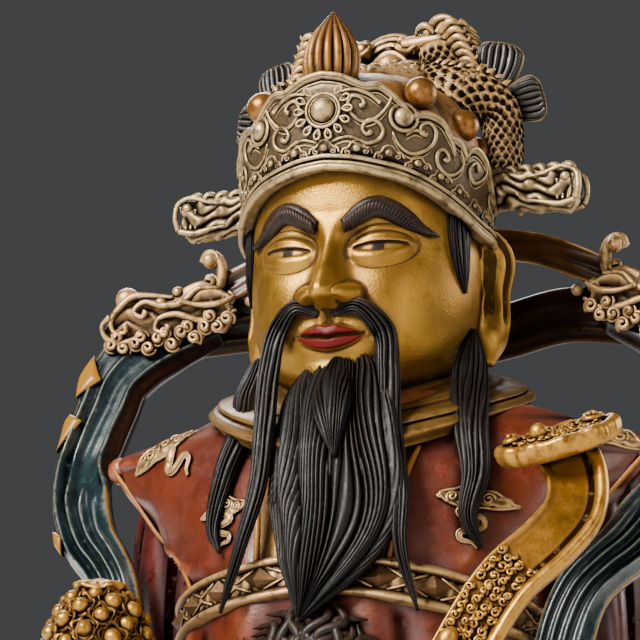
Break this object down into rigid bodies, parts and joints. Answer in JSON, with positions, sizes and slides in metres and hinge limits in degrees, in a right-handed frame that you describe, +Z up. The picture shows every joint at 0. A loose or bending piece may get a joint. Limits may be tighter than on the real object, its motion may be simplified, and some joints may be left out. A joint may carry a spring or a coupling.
{
  "type": "caishen figure",
  "caption": "Bust of a court god of wealth: gold face, long black beard, winged dragon hat, red robe, teal scarf arched behind the head, ruyi sceptre and heap of pearls.",
  "frame": {"origin": "centre of the flat underside, beneath the head's axis", "axes": "+Z up, the figure faces -Y, its own left side is +X"},
  "size_m": [0.1714, 0.1068, 0.1782],
  "materials": {
    "robe_lacquer": "orange-red lacquer with pinkish wear, on cast resin",
    "old_gold": "old gold paint with dark patina in the creases",
    "champagne": "silver-bronze paint with dark brown wash in the carving",
    "black_hair": "satin black paint, grey on its ridges",
    "lip_red": "dark red paint",
    "teal_lacquer": "glossy blue-green lacquer, worn to grey on its ridges",
    "yellow_gold": "yellow gold paint with brown recesses",
    "scarf_brown": "golden brown lacquer"
  },
  "bodies": {
    "root": {"figure": "robe_lacquer", "scarf": "teal_lacquer", "ruyi_sceptre": "yellow_gold", "pearl_heap": "yellow_gold"}
  },
  "joints": []
}
